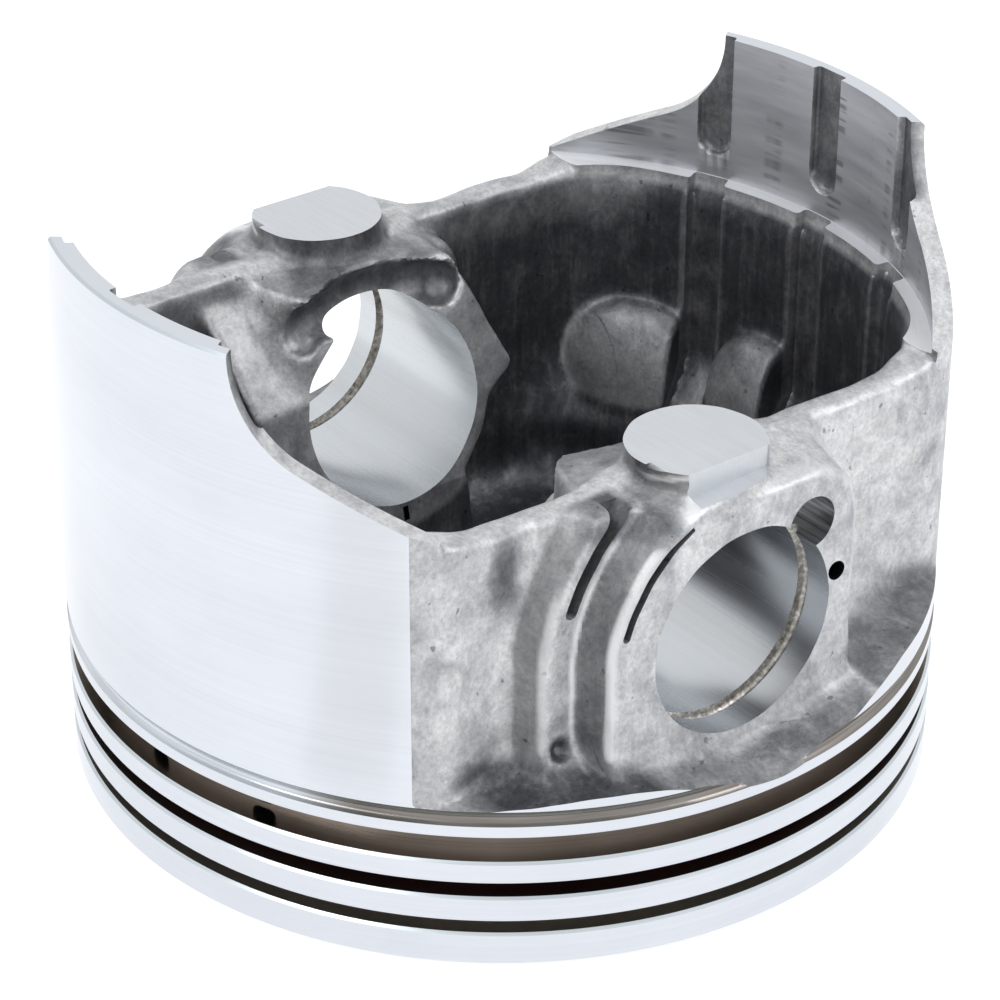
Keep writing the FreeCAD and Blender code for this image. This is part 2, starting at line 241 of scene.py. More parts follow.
def casting_field(x, y, z):
    """Signed distance of the raw casting, before machining."""
    ax = np.abs(x)
    ay = np.abs(y)
    r = np.hypot(x, y)
    dy = y - PIN_Y
    dz = z - PIN_Z

    # Outer envelope: round skirts, flat sides with relief, flange below.
    round_side = r - (SKIRT_R + 0.8)
    flat_side = (ax - outer_relief(dy, dz)) * 0.8
    upper = smax(round_side, flat_side, 3.9)
    shelf = np.maximum(round_side, (z - shelf_height(y, r)) * 0.97)
    fillet = 2.4 + 1.4 * ease(14, 20, np.abs(dy)) - 3.3 * ease(22, 32, np.abs(dy))
    outer = smin(upper, shelf, fillet)
    outer = np.maximum(outer, round_side)

    # Inner cavity: thicker behind the rings, hoods, and upright flutes.
    wall = inner_radius(z)
    cavity = smax(r - wall, ax - WALL_IN - 0.02 * (z - 30), 7.0)
    cavity = smax(cavity, FLOOR_Z - z, 6.0)
    for hood in hoods(x, y, z):
        cavity = smax(cavity, -hood, 0.7)
    for step in (-1, 0, 1):
        turn = math.radians(90.0 + step * FLUTE_STEP)
        along = np.abs(-x * math.sin(turn) + ay * math.cos(turn))
        radial = x * math.cos(turn) + ay * math.sin(turn)
        low = np.maximum(np.maximum(along - FLUTE_W / 2, radial - wall - FLUTE_DEPTH), 13.0 - z)
        cavity = np.minimum(cavity, np.maximum(low, 30.0 - radial))
        end_z = FLUTE_FOOT + FLUTE_W / 2
        tip = np.hypot(along, np.minimum(z - end_z, 0.0)) - FLUTE_W / 2
        high = np.maximum(np.maximum(tip, radial - TAIL_IN_R - 0.85), 30.0 - radial)
        cavity = np.minimum(cavity, high)
    solid = np.maximum(outer, -cavity)

    # Rims of the side walls, which rise a little towards the skirts.
    rim_z = WALL_TOP + 1.1 * ease(27, 34, ay)
    solid = smax(solid, np.where(ay > 33.0, z - 75.0, z - rim_z), 1.6)

    # Pin bosses: a tapering block above the axis, a collar below it.
    inner_face = boss_face(dy, z)
    half = np.where(dy < 0, 18.6, 17.6) - np.where(dy < 0, 0.03, 0.45) * np.maximum(dz, 0.0)
    above = (np.abs(dy) - half) * 0.92
    collar = np.hypot(dy, dz) - np.where(dy < 0, 14.8, 13.9)
    below = np.minimum(collar, np.abs(dy) - 9.0)
    side = above + (below - above) * ease(0.5, -3.5, dz)
    boss = smax(inner_face - ax, side, 1.2)
    boss = smax(boss, ax - 33.0, 1.0)
    fall = 0.08 * np.maximum(34.0 - ax, 0.0)
    boss = smax(boss, z - 48.2 + fall + 0.26 * np.maximum(-dy - 8.5, 0.0), 1.8)
    boss = np.maximum(boss, 5.0 - z)
    solid = smin(solid, boss, 2.2)
    edge = np.where(dy < 0, arch(dy, dz) - ARCH_BOSS, back_edge(dy, dz))
    crown = smax(ax - outer_relief(dy, dz), edge, 0.8)
    crown = smax(crown, 26.0 - ax, 2.0)
    crown = smax(np.maximum(crown, 15.0 - z), z - 48.1 + fall, 2.2)
    solid = smin(solid, crown, 0.8)

    # Balance pads.
    post = np.maximum(np.hypot(ax - PAD_X, dy) - PAD_R, z - (PAD_TOP + 1.0))
    post = np.maximum(post, 42.0 - z)
    solid = smin(solid, post, 1.5)

    # Lubrication flute over the pin bore, open towards the rod.
    bend = np.clip(np.arctan2(dy, dz), -math.radians(45), math.radians(37))
    spread = ease(0.38, 0.74, np.abs(bend))
    bend_r = 13.0 + 2.0 * spread
    channel = np.sqrt((ax - 22.5) ** 2 + (dy - bend_r * np.sin(bend)) ** 2
                      + (dz - bend_r * np.cos(bend)) ** 2) - (3.3 - 0.9 * spread)
    solid = smax(solid, -channel, 0.8)

    # Pits at the feet of the rib and of the boss's front edge.
    for px, py, pz, size in PITS:
        pit = np.sqrt((ax - px) ** 2 + (y - py) ** 2 + (z - pz) ** 2) - size
        solid = smax(solid, -pit, 0.5)

    # Slight unevenness of the cast walls, none at the skirts.
    wave = (np.sin(0.55 * x + 1.3) * np.sin(0.47 * y + 0.4) * np.sin(0.5 * z + 2.1) * 0.12
            + np.sin(1.3 * x + 0.2) * np.sin(1.1 * y + 1.7) * np.sin(1.2 * z) * 0.05)
    return solid + wave * ease(35.0, 30.0, ay)


# ------------------------------------------------------------- mesh helpers
CORNERS = [(i, j, k) for i in (0, 1) for j in (0, 1) for k in (0, 1)]


def surface_nets(field, low, step):
    """Vertices and quads of the field's zero surface."""
    shape = tuple(n - 1 for n in field.shape)
    total = np.zeros(shape + (3,), np.float32)
    count = np.zeros(shape, np.int8)

    def corner(c):
        return field[c[0]:c[0] + shape[0], c[1]:c[1] + shape[1], c[2]:c[2] + shape[2]]

    for a in CORNERS:
        for axis in range(3):
            if a[axis]:
                continue
            b = tuple(v + (n == axis) for n, v in enumerate(a))
            fa, fb = corner(a), corner(b)
            crossing = (fa < 0) != (fb < 0)
            t = np.where(crossing, fa / np.where(crossing, fa - fb, 1), 0)
            for n in range(3):
                total[..., n] += np.where(crossing, a[n] + (t if n == axis else 0), 0)
            count += crossing
    active = count > 0
    cells = np.argwhere(active)
    number = np.full(shape, -1, np.int64)
    number[active] = np.arange(len(cells))
    verts = (cells + total[active] / count[active][:, None]) * step + np.array(low)
    quads = []
    for axis in range(3):
        u, v = (axis + 1) % 3, (axis + 2) % 3
        inner = [slice(1, n - 1) for n in field.shape]
        inner[axis] = slice(0, field.shape[axis] - 1)
        here = field[tuple(inner)]
        ahead_slice = list(inner)
        ahead_slice[axis] = slice(1, field.shape[axis])
        ahead = field[tuple(ahead_slice)]
        for sign in (True, False):
            hits = np.argwhere((here < 0) & (ahead >= 0) if sign else (here >= 0) & (ahead < 0))
            for n in range(3):
                hits[:, n] += n != axis
            ring = []
            for du, dv in ((-1, -1), (0, -1), (0, 0), (-1, 0)):
                cell = hits.copy()
                cell[:, u] += du
                cell[:, v] += dv
                ring.append(number[cell[:, 0], cell[:, 1], cell[:, 2]])
            quads.append(np.stack(ring if sign else ring[::-1], 1))
    return verts, np.concatenate(quads)


def mesh_object(name, verts, faces, materials=(), indices=None):
    """Linked object from vertices in millimetres."""
    mesh = bpy.data.meshes.new(name)
    mesh.from_pydata((np.asarray(verts) * MM).tolist(), [], [list(map(int, f)) for f in faces])
    for material in materials:
        mesh.materials.append(material)
    if indices is not None:
        mesh.polygons.foreach_set("material_index", indices)
    mesh.update()
    obj = bpy.data.objects.new(name, mesh)
    bpy.context.scene.collection.objects.link(obj)
    return obj


def turned(name, profile, materials, axis="Z", centre=(0, 0, 0), closed=False):
    """Turned solid. profile: (radius, height, material of the segment that follows)."""
    angles = np.arange(TURN_STEPS) * 2 * math.pi / TURN_STEPS
    verts, starts = [], []
    for r, h, kind in profile:
        starts.append(len(verts))
        if r < 1e-6:
            verts.append((0, 0, h))
        else:
            verts += [(r * math.cos(a), r * math.sin(a), h) for a in angles]
    faces, indices = [], []
    rows = list(range(len(profile)))
    pairs = list(zip(rows, rows[1:])) + ([(rows[-1], 0)] if closed else [])
    for n, after in pairs:
        a, b = starts[n], starts[after]
        for k in range(TURN_STEPS):
            nxt = (k + 1) % TURN_STEPS
            if profile[n][0] < 1e-6:
                faces.append((a, b + nxt, b + k))
            elif profile[after][0] < 1e-6:
                faces.append((a + k, a + nxt, b))
            else:
                faces.append((a + k, a + nxt, b + nxt, b + k))
            indices.append(profile[n][2])
    verts = np.array(verts)
    if axis == "X":
        verts = verts[:, [2, 0, 1]]
    return mesh_object(name, verts + np.array(centre), faces, materials, indices)


def prism(name, outline, ends, materials, axis="X"):
    """Closed prism of an outline in the plane across the axis."""
    count = len(outline)
    low, high = sorted(ends)
    verts = [(low,) + tuple(p) for p in outline] + [(high,) + tuple(p) for p in outline]
    faces = [tuple(range(count))[::-1], tuple(range(count, 2 * count))]
    faces += [(k, (k + 1) % count, count + (k + 1) % count, count + k) for k in range(count)]
    order = {"X": [0, 1, 2], "Y": [2, 0, 1], "Z": [1, 2, 0]}[axis]
    return mesh_object(name, np.array(verts, float)[:, order], faces, materials,
                       [0] * len(faces))


def block(name, low, high, materials):
    """Closed box between two corners."""
    outline = [(low[1], low[2]), (high[1], low[2]), (high[1], high[2]), (low[1], high[2])]
    return prism(name, outline, (low[0], high[0]), materials)


def circle(centre, radius, steps=96):
    return [(centre[0] + radius * math.cos(a), centre[1] + radius * math.sin(a))
            for a in np.arange(steps) * 2 * math.pi / steps]


def outward(obj):
    """Turns the mesh's faces outwards."""
    bm = bmesh.new()
    bm.from_mesh(obj.data)
    if bm.calc_volume(signed=True) < 0:
        bmesh.ops.reverse_faces(bm, faces=bm.faces)
    bm.to_mesh(obj.data)
    bm.free()
    return obj


def discard(obj):
    mesh = obj.data
    bpy.data.objects.remove(obj)
    bpy.data.meshes.remove(mesh)


def boolean_mesh(target, tool, operation):
    """Mesh of the boolean with the tool, whose faces keep its materials."""
    modifier = target.modifiers.new("carve", "BOOLEAN")
    modifier.operation = operation
    modifier.object = tool
    modifier.solver = "MANIFOLD"
    modifier.material_mode = "TRANSFER"
    graph = bpy.context.evaluated_depsgraph_get()
    result = bpy.data.meshes.new_from_object(target.evaluated_get(graph))
    target.modifiers.clear()
    return result


def carve(target, tool, operation="DIFFERENCE"):
    """Applies the tool to the target and throws the tool away."""
    old = target.data
    target.data = boolean_mesh(target, outward(tool), operation)
    bpy.data.meshes.remove(old)
    discard(tool)


# ---------------------------------------------------------------- materials
class Finish:
    """A metal whose colour, roughness and bump come from its nodes."""

    def __init__(self, name, roughness, metallic=1.0):
        self.material = bpy.data.materials.new(name)
        self.material.use_nodes = True
        self.tree = self.material.node_tree
        self.shader = self.tree.nodes["Principled BSDF"]
        self.shader.inputs["Metallic"].default_value = metallic
        self.shader.inputs["Roughness"].default_value = roughness
        self.place = self.add("ShaderNodeTexCoord").outputs["Object"]
        self.height = None

    def add(self, kind, **settings):
        node = self.tree.nodes.new(kind)
        for key, value in settings.items():
            setattr(node, key, value)
        return node

    def link(self, source, target):
        self.tree.links.new(source, target)

    def math(self, operation, first, second):
        node = self.add("ShaderNodeMath", operation=operation)
        for socket, value in zip(node.inputs, (first, second)):
            if isinstance(value, (int, float)):
                socket.default_value = value
            else:
                self.link(value, socket)
        return node.outputs[0]

    def stretched(self, scale):
        """Object coordinates in millimetres, scaled on each axis."""
        node = self.add("ShaderNodeMapping")
        node.inputs["Scale"].default_value = [s / MM for s in scale]
        self.link(self.place, node.inputs["Vector"])
        return node.outputs[0]

    def noise(self, scale, detail=4.0, rough=0.6, warp=0.0):
        node = self.add("ShaderNodeTexNoise")
        self.link(self.stretched(scale), node.inputs["Vector"])
        node.inputs["Scale"].default_value = 1.0
        node.inputs["Detail"].default_value = detail
        node.inputs["Roughness"].default_value = rough
        node.inputs["Distortion"].default_value = warp
        return node.outputs["Fac"]

    def ramp(self, source, stops):
        node = self.add("ShaderNodeValToRGB")
        while len(node.color_ramp.elements) < len(stops):
            node.color_ramp.elements.new(0.5)
        for element, (at, value) in zip(node.color_ramp.elements, stops):
            element.position = at
            element.color = (*value, 1) if isinstance(value, tuple) else (value, value, value, 1)
        self.link(source, node.inputs["Fac"])
        return node.outputs["Color"]

    def mix(self, factor, first, second, blend="MIX"):
        node = self.add("ShaderNodeMix", data_type="RGBA", blend_type=blend)
        for socket, value in zip((node.inputs["Factor"], node.inputs[6], node.inputs[7]),
                                 (factor, first, second)):
            if isinstance(value, tuple):
                socket.default_value = (*value, 1)
            elif isinstance(value, (int, float)):
                socket.default_value = value
            else:
                self.link(value, socket)
        return node.outputs[2]

    def colour(self, source):
        self.link(source, self.shader.inputs["Base Color"])

    def rough(self, source, low, high):
        node = self.add("ShaderNodeMapRange")
        node.inputs["To Min"].default_value = low
        node.inputs["To Max"].default_value = high
        self.link(source, node.inputs["Value"])
        self.link(node.outputs[0], self.shader.inputs["Roughness"])

    def bump(self, source, distance, strength=1.0):
        node = self.add("ShaderNodeBump")
        node.inputs["Strength"].default_value = strength
        node.inputs["Distance"].default_value = distance * MM
        self.link(source, node.inputs["Height"])
        if self.height is not None:
            self.link(self.height, node.inputs["Normal"])
        self.height = node.outputs["Normal"]
        self.link(self.height, self.shader.inputs["Normal"])


def turned_finish(name, light, dark, roughness, line=3.2):
    """Lathe-turned metal: fine rings across the axis and faint clouding."""
    f = Finish(name, roughness)
    cloud = f.noise((0.05, 0.05, 0.09), 3.0)
    rings = f.noise((0.01, 0.01, line), 2.0, 0.7)
    both = f.math("ADD", f.math("MULTIPLY", cloud, 0.6), f.math("MULTIPLY", rings, 0.4))
    f.colour(f.ramp(both, ((0.3, dark), (0.7, light))))
    f.rough(rings, roughness * 0.8, roughness * 1.25)
    f.bump(rings, 0.004)
    return f.material


def cast_finish():
    """As-cast aluminium: grey mottling, stains and pits.

    This attribute runs from nought, where oxide and painted shade make it dark, to one, where it is
    clean;
    above one, edges get a painted highlight. Outer faces turned to the front (-Y) get painted
    shade."""
    f = Finish("cast", 0.42, 0.72)
    oxide_and_painted_light = f.add("ShaderNodeAttribute", attribute_name="oxide_and_painted_light").outputs["Fac"]
    split = f.add("ShaderNodeSeparateXYZ")
    f.link(f.add("ShaderNodeNewGeometry").outputs["Normal"], split.inputs[0])
    mottle = f.noise((0.30, 0.30, 0.26), 7.0, 0.68, 0.4)
    cloud = f.noise((0.10, 0.10, 0.08), 3.0, 0.5)
    grain = f.noise((1.9, 1.9, 1.6), 4.0, 0.75)
    streak = f.noise((0.9, 0.9, 0.09), 4.0, 0.65)
    stain = f.ramp(f.noise((0.13, 0.13, 0.15), 6.0, 0.75, 0.9), ((0.50, 0.0), (0.66, 1.0)))
    body = f.math("ADD", f.math("MULTIPLY", mottle, 0.7), f.math("MULTIPLY", cloud, 0.3))
    light = f.ramp(body, ((0.34, (0.40, 0.41, 0.43)), (0.48, (0.58, 0.58, 0.59)),
                          (0.64, (0.76, 0.76, 0.77))))
    light = f.mix(f.math("MULTIPLY", stain, 0.36), light, (0.26, 0.30, 0.36))
    # Painted shade: outer faces turned to the front (-Y) are darkened.
    painted_front_shade = f.ramp(f.math("MULTIPLY", split.outputs["Y"], -1.0), ((0.22, 1.0), (0.78, 0.36)))
    across = f.add("ShaderNodeSeparateXYZ")
    f.link(f.stretched((1, 1, 1)), across.inputs[0])
    outer = f.add("ShaderNodeMapRange")
    outer.inputs["From Min"].default_value = WALL_OUT - 2.0
    outer.inputs["From Max"].default_value = WALL_OUT - 0.8
    f.link(f.math("ABSOLUTE", across.outputs["X"], 0.0), outer.inputs["Value"])
    light = f.mix(outer.outputs[0], light, painted_front_shade, "MULTIPLY")
    dark_streaks = f.math("ADD", f.math("MULTIPLY", streak, 0.55), f.math("MULTIPLY", mottle, 0.45))
    dark = f.ramp(dark_streaks, ((0.32, (0.055, 0.057, 0.065)), (0.52, (0.10, 0.102, 0.112)),
                          (0.72, (0.23, 0.23, 0.24))))
    uneven = f.math("ADD", oxide_and_painted_light, f.math("MULTIPLY", f.math("SUBTRACT", mottle, 0.5), 0.45))
    colour = f.mix(uneven, dark, light)
    pits = f.ramp(f.noise((0.8, 0.8, 0.8), 2.0, 0.5), ((0.255, 0.3), (0.29, 1.0)))
    colour = f.mix(0.7, colour, pits, "MULTIPLY")
    speck = f.ramp(grain, ((0.34, 0.66), (0.62, 1.0)))
    colour = f.mix(0.8, colour, speck, "MULTIPLY")
    # Painted highlight: values above one mix towards a pale colour.
    painted_highlight = f.add("ShaderNodeMapRange")
    painted_highlight.inputs["From Min"].default_value = 1.02
    painted_highlight.inputs["From Max"].default_value = 1.7
    f.link(oxide_and_painted_light, painted_highlight.inputs["Value"])
    f.colour(f.mix(painted_highlight.outputs[0], colour, (0.86, 0.87, 0.88)))
    f.rough(grain, 0.32, 0.54)
    f.bump(mottle, 0.16, 0.5)
    f.bump(grain, 0.05, 0.6)
    return f.material


def bore_finish():
    """Honed pin bore: light and dark bands along the axis, fine scratches."""
    f = Finish("pin_bore", 0.17)
    bands = f.noise((0.004, 0.17, 0.17), 3.0, 0.5)
    scratch = f.noise((0.02, 2.4, 2.4), 3.0, 0.6)
    both = f.math("ADD", f.math("MULTIPLY", bands, 0.8), f.math("MULTIPLY", scratch, 0.2))
    f.colour(f.ramp(both, ((0.36, (0.53, 0.545, 0.56)), (0.47, (0.58, 0.60, 0.62)),
                           (0.6, (0.62, 0.645, 0.67)))))
    f.rough(scratch, 0.2, 0.32)
    f.bump(scratch, 0.003)
    return f.material


def clip_finish():
    """Circlip groove: brown-grey with bright specks and chatter."""
    f = Finish("clip_groove", 0.38)
    speck = f.noise((1.5, 1.5, 1.5), 4.0, 0.75)
    f.colour(f.ramp(speck, ((0.36, (0.24, 0.22, 0.20)), (0.52, (0.50, 0.475, 0.445)),
                            (0.66, (0.86, 0.85, 0.82)))))
    f.rough(speck, 0.3, 0.5)
    f.bump(speck, 0.03, 0.6)
    return f.material


def notch_finish():
    """Milled notch: mid grey, brushed along its axis."""
    f = Finish("notch", 0.36)
    brush = f.noise((0.1, 2.6, 2.6), 3.0, 0.7)
    f.colour(f.ramp(brush, ((0.35, (0.20, 0.20, 0.21)), (0.65, (0.56, 0.56, 0.56)))))
    f.bump(brush, 0.01)
    return f.material


def pad_finish():
    """Faced pad top: pale satin with faint cutter lines."""
    f = Finish("pad_face", 0.5)
    lines = f.noise((0.12, 2.2, 1.0), 3.0, 0.6)
    f.colour(f.ramp(lines, ((0.3, (0.62, 0.64, 0.665)), (0.7, (0.67, 0.69, 0.715)))))
    f.rough(lines, 0.42, 0.58)
    f.bump(lines, 0.004)
    return f.material


def tail_finish():
    """Bored inner face of the tails: grey, with columns of chatter marks."""
    f = Finish("tail_bore", 0.36)
    sweep = f.noise((0.07, 0.07, 0.5), 3.0, 0.6)
    marks = f.noise((0.10, 0.10, 1.5), 1.0, 0.4)
    columns = f.noise((0.36, 0.36, 0.004), 1.0, 0.4)
    chatter = f.math("MULTIPLY", f.ramp(marks, ((0.48, 0.0), (0.62, 1.0))),
                     f.ramp(columns, ((0.52, 0.0), (0.64, 1.0))))
    body = f.ramp(sweep, ((0.3, (0.46, 0.47, 0.50)), (0.7, (0.62, 0.63, 0.66))))
    f.colour(f.mix(f.math("MULTIPLY", chatter, 0.6), body, (0.16, 0.16, 0.17)))
    f.rough(sweep, 0.5, 0.62)
    f.bump(f.noise((0.02, 0.02, 3.0), 2.0), 0.004)
    return f.material


def cove_finish(name, light, dark):
    """Cove over the oil ring: clean on the thrust faces; beside the bosses, darker and browner, and
    darker on its lower half than on its upper.
    """
    f = Finish(name, 0.28)
    split = f.add("ShaderNodeSeparateXYZ")
    f.link(f.stretched((1, 1, 1)), split.inputs[0])
    beside = f.add("ShaderNodeMapRange", interpolation_type="SMOOTHSTEP")
    beside.inputs["From Min"].default_value = 19.0
    beside.inputs["From Max"].default_value = 29.0
    f.link(f.math("ABSOLUTE", split.outputs["X"], 0.0), beside.inputs["Value"])
    rings = f.noise((0.06, 0.06, 2.2), 3.0, 0.6)
    clean = f.ramp(rings, ((0.3, (0.54, 0.57, 0.60)), (0.7, (0.70, 0.73, 0.77))))
    beside_colour = f.ramp(rings, ((0.3, dark), (0.7, light)))
    f.colour(f.mix(beside.outputs[0], clean, beside_colour))
    f.rough(rings, 0.2, 0.36)
    f.bump(rings, 0.004)
    return f.material


MACHINED = turned_finish("machined", (0.70, 0.725, 0.775), (0.63, 0.655, 0.70), 0.19)
EDGE_LINE = turned_finish("edge_chamfer", (0.62, 0.67, 0.70), (0.52, 0.57, 0.60), 0.3)
COVE = cove_finish("cove_low", (0.30, 0.275, 0.255), (0.17, 0.155, 0.145))
COVE_PALE = cove_finish("cove_high", (0.56, 0.60, 0.58), (0.42, 0.45, 0.44))
LEDGE = turned_finish("ledge", (0.90, 0.91, 0.92), (0.78, 0.79, 0.80), 0.5)
# Groove colours are darkened partly for the grooves' real brown tint and partly as painted shade
# deep in the grooves.
FIRST_GROOVE = turned_finish("first_groove", (0.50, 0.475, 0.44), (0.36, 0.335, 0.31), 0.34)
SECOND_GROOVE = turned_finish("second_groove", (0.15, 0.13, 0.125), (0.09, 0.075, 0.07), 0.4)
RED_FLOOR = turned_finish("groove_floor", (0.30, 0.14, 0.13), (0.19, 0.08, 0.075), 0.4)
OIL_FLANK = turned_finish("oil_flank", (0.80, 0.77, 0.725), (0.50, 0.475, 0.435), 0.16, 1.6)
OIL_FLOOR = turned_finish("oil_floor", (0.28, 0.245, 0.22), (0.15, 0.125, 0.11), 0.3)
# Near black in holes and slots: painted shade of their depth.
HOLE_SHADE = turned_finish("hole", (0.03, 0.03, 0.035), (0.015, 0.015, 0.017), 0.6)
CAST = cast_finish()
BORE = bore_finish()
CLIP = clip_finish()
NOTCH = notch_finish()
PAD_FACE = pad_finish()
TAIL_BORE = tail_finish()

# ------------------------------------------------------------------ casting
ROOM = 51.3
LOW = (-ROOM, -ROOM, -2.1)
SIZE = (2 * ROOM, 2 * ROOM, 75.0)
axes = [np.float32(start) + np.arange(int(size / GRID) + 2, dtype=np.float32) * np.float32(GRID)
        for start, size in zip(LOW, SIZE)]
field = casting_field(*np.meshgrid(*axes, indexing="ij")).astype(np.float32)
# The block is closed on every side of the room.
for axis in range(3):
    ends = [slice(None)] * 3
    for end in (0, -1):
        ends[axis] = end
        field[tuple(ends)] = 1
verts, quads = surface_nets(field, LOW, GRID)
piston = outward(mesh_object("raw_casting", verts, quads, [CAST]))
print("raw casting", len(verts), "vertices")

# Places of the turned materials in the envelope's list.
LAND, LINE, COVED, FIRST, SECOND, RED, FLANK, OILED, PALE = range(9)
TURNED = [MACHINED, EDGE_LINE, COVE, FIRST_GROOVE, SECOND_GROOVE, RED_FLOOR, OIL_FLANK, OIL_FLOOR,
          COVE_PALE]


def groove(low, high, root, flank, floor):
    """Ring groove from the land under it to the land over it."""
    return [(LAND_R, low - EDGE, LINE), (LAND_R - EDGE, low, flank), (root, low, floor),
            (root, high, floor), (LAND_R - EDGE / 3, high, LINE), (LAND_R, high + EDGE / 3, LAND)]


def envelope():
    """Everything that is turned outside: crown, lands, grooves, cove, skirt."""
    profile = [(0, 0, LAND), (LAND_R - CROWN_CHAMFER, 0, LAND), (LAND_R, CROWN_CHAMFER, LAND)]
    profile += groove(TOP_LAND_TOP, SECOND_LAND[0], ROOT_R, FIRST, FIRST)
    profile += groove(SECOND_LAND[1], THIRD_LAND[0], ROOT_R, SECOND, RED)
    profile += groove(THIRD_LAND[1], OIL_LAND_LOW, OIL_ROOT_R, FLANK, OILED)
    profile.append((LAND_R, OIL_LAND_TOP, COVED))
    for n in range(1, COVE_STEPS + 1):
        t = n / COVE_STEPS
        inset = COVE_DEPTH * math.sin(math.pi * t ** 0.7) ** 0.7
        kind = LAND if n == COVE_STEPS else COVED if t < 0.5 else PALE
        profile.append((SKIRT_R + 0.05 * (1 - t) - inset,
                        OIL_LAND_TOP + t * (SKIRT_LOW - OIL_LAND_TOP), kind))
    profile += [(SKIRT_R, TAIL_TOP - 0.3, LINE), (SKIRT_R - 0.3, TAIL_TOP, LAND),
                (0, TAIL_TOP, LAND)]
    return turned("envelope", profile, TURNED)


def tail_cut(side_x, side_y):
    """Prism that shapes one long side of a skirt tail: an arc, then a slope.

    It runs square to the skirt, so the cut face is as wide as the wall."""
    cx, cz, radius = CUT_ARC
    dx, dz = CUT_LOW[0] - cx, CUT_LOW[1] - cz
    touch = math.atan2(dz, dx) - math.acos(radius / math.hypot(dx, dz))
    start, steps = -math.pi, 40
    curve = [(cx + radius * math.cos(start + (touch - start) * n / steps),
              cz + radius * math.sin(start + (touch - start) * n / steps))
             for n in range(steps + 1)]
    curve = [(cx - radius - 0.8, HIGH)] + curve + [CUT_LOW, (WALL_OUT + 0.6, 50.1), (SKIRT_R, 49.9)]
    cosine, sine = math.cos(math.radians(CUT_TURN)), math.sin(math.radians(CUT_TURN))
    outline = [(x * cosine - math.sqrt(max(SKIRT_R ** 2 - x * x, 0)) * sine, z) for x, z in curve]
    outline += [(FAR, 49.9), (FAR, HIGH)]
    tool = prism("tail_cut", outline, (33.0, FAR), [CAST])
    for vertex in tool.data.vertices:
        out, along, z = vertex.co
        vertex.co = (side_x * (out * sine + along * cosine),
                     side_y * (out * cosine - along * sine), z)
    return tool


def crevice(name, arch_r, half, angles, floor_x, side):
    """Curved slit beside a boss, round-ended, thinner towards its upper end."""
    first, last = angles
    steps = 32
    rows = [(math.radians(first + (last - first) * n / steps),
             half * (0.5 + 0.5 * min(1.0, 3.0 * n / steps))) for n in range(steps + 1)]
    outline = [((arch_r + wide) * math.sin(a), (arch_r + wide) * math.cos(a)) for a, wide in rows]
    a, wide = rows[-1]
    for n in range(1, 8):
        t = math.pi * n / 8
        out = arch_r + wide * math.cos(t)
        past = a + wide * math.sin(t) / arch_r
        outline.append((out * math.sin(past), out * math.cos(past)))
    outline += [((arch_r - wide) * math.sin(a), (arch_r - wide) * math.cos(a))
                for a, wide in reversed(rows)]
    return prism(name, [(PIN_Y - along, PIN_Z + up) for along, up in outline],
                 (side * floor_x, side * FAR), [CAST])


def pin_bore():
    """Turned tool for the bore and its two round-bottomed circlip grooves."""
    profile = [(0, -FAR, 0), (PIN_R, -FAR, 0)]
    steps = 10
    for side in (-1, 1):
        low = min(side * CLIP_IN, side * (CLIP_IN + CLIP_W))
        profile.append((PIN_R, low, 1))
        for n in range(1, steps):
            depth = CLIP_DEPTH * math.sin(math.pi * n / steps) ** 0.5
            profile.append((PIN_R + depth, low + CLIP_W * n / steps, 1))
        profile.append((PIN_R, low + CLIP_W, 0))
    profile += [(PIN_R, FAR, 0), (0, FAR, 0)]
    return turned("pin_bore", profile, [BORE, CLIP], "X", (0, PIN_Y, PIN_Z))


def beside_pin(along, up):
    """Y and Z of a point given from the pin axis."""
    return PIN_Y + along, PIN_Z + up


def rounded_slot(width, low, high, round_r):
    """Outline across the slot, with round corners."""
    outline = []
    for cy, cz, first in ((1, 1, 0), (-1, 1, 90), (-1, -1, 180), (1, -1, 270)):
        middle = (low + high) / 2
        corner_y = cy * (width / 2 - round_r)
        corner_z = middle + cz * ((high - low) / 2 - round_r)
        for n in range(7):
            a = math.radians(first + 15 * n)
            outline.append((corner_y + round_r * math.cos(a), corner_z + round_r * math.sin(a)))
    return outline


carve(piston, envelope(), "INTERSECT")
carve(piston, turned("counterbore", [(BORE_FROM_R, LEDGE_Z, 0), (CAVITY_R + 0.8, LEDGE_Z, 0),
                                     (TAIL_IN_R, LEDGE_Z + 0.25, 1), (TAIL_IN_R, HIGH, 1),
                                     (BORE_FROM_R, HIGH, 1)], [LEDGE, TAIL_BORE], closed=True))
for side in (-1, 1):
    for other in (-1, 1):
        carve(piston, tail_cut(other, side))
    for step in (-1, 0, 1):
        outline = rounded_slot(DRAIN_W, THIRD_LAND[1] + 0.35, OIL_LAND_LOW - 0.25, DRAIN_ROUND)
        slot = prism("drain", outline, (DRAIN_FROM_R, OIL_ROOT_R + 1.0), [HOLE_SHADE])
        angle = math.radians(90.0 * side + step * FLUTE_STEP)
        cosine, sine = math.cos(angle), math.sin(angle)
        for vertex in slot.data.vertices:
            px, py, pz = vertex.co
            vertex.co = (px * cosine - py * sine, px * sine + py * cosine, pz)
        carve(piston, slot)
carve(piston, pin_bore())
